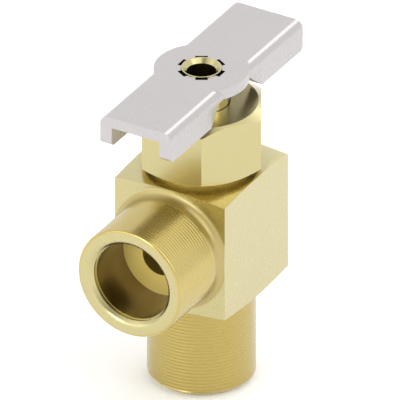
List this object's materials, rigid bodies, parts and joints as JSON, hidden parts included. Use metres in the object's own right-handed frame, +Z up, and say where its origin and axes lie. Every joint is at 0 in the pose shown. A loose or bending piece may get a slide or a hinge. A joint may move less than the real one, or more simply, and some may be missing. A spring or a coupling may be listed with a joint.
{
  "type": "compression shutoff valve",
  "caption": "Right-angle brass shutoff valve with threaded tube ports, a hex bonnet and a two-armed handle on a rising splined spindle.",
  "frame": {"origin": "centre of the lower port's end face, where the spindle axis meets it; the valve stands on it", "axes": "+Z up the spindle axis from the lower port to the handle; the front port points along -Y"},
  "size_m": [0.026, 0.0524, 0.0665],
  "materials": {
    "body_brass": "satin",
    "bonnet_brass": "satin",
    "spindle_brass": "turned",
    "screw_brass": "turned",
    "handle_zinc": "satin",
    "seat_rubber": "matte",
    "o_ring_rubber": "satin",
    "slip_plastic": "matte",
    "fibre": "matte",
    "spring_steel": "satin"
  },
  "bodies": {
    "valve": {"valve_body": "body_brass", "bonnet": "bonnet_brass", "bonnet_gasket": "fibre"},
    "disc": {"disc_holder": "spindle_brass", "retaining_ring": "spring_steel", "seat_washer": "seat_rubber", "screw_washer": "screw_brass", "washer_screw": "screw_brass"},
    "spindle": {"spindle": "spindle_brass", "spindle_o_ring_lower": "o_ring_rubber", "spindle_o_ring_upper": "o_ring_rubber", "thrust_washer": "slip_plastic", "handle": "handle_zinc"}
  },
  "joints": [
    {"name": "disc_lift", "type": "slide", "parent": "valve", "child": "disc", "axis": [0, 0, 1], "range_m": [0, 0.00338]},
    {"name": "handle_turn", "type": "hinge", "parent": "disc", "child": "spindle", "pos_m": [0, 0, 0.06], "axis": [0, 0, 1], "range_deg": [0, 810]}
  ],
  "couplings": [
    {"joint": "disc_lift", "follows": "handle_turn", "m_per_rad": 0.00023873}
  ]
}
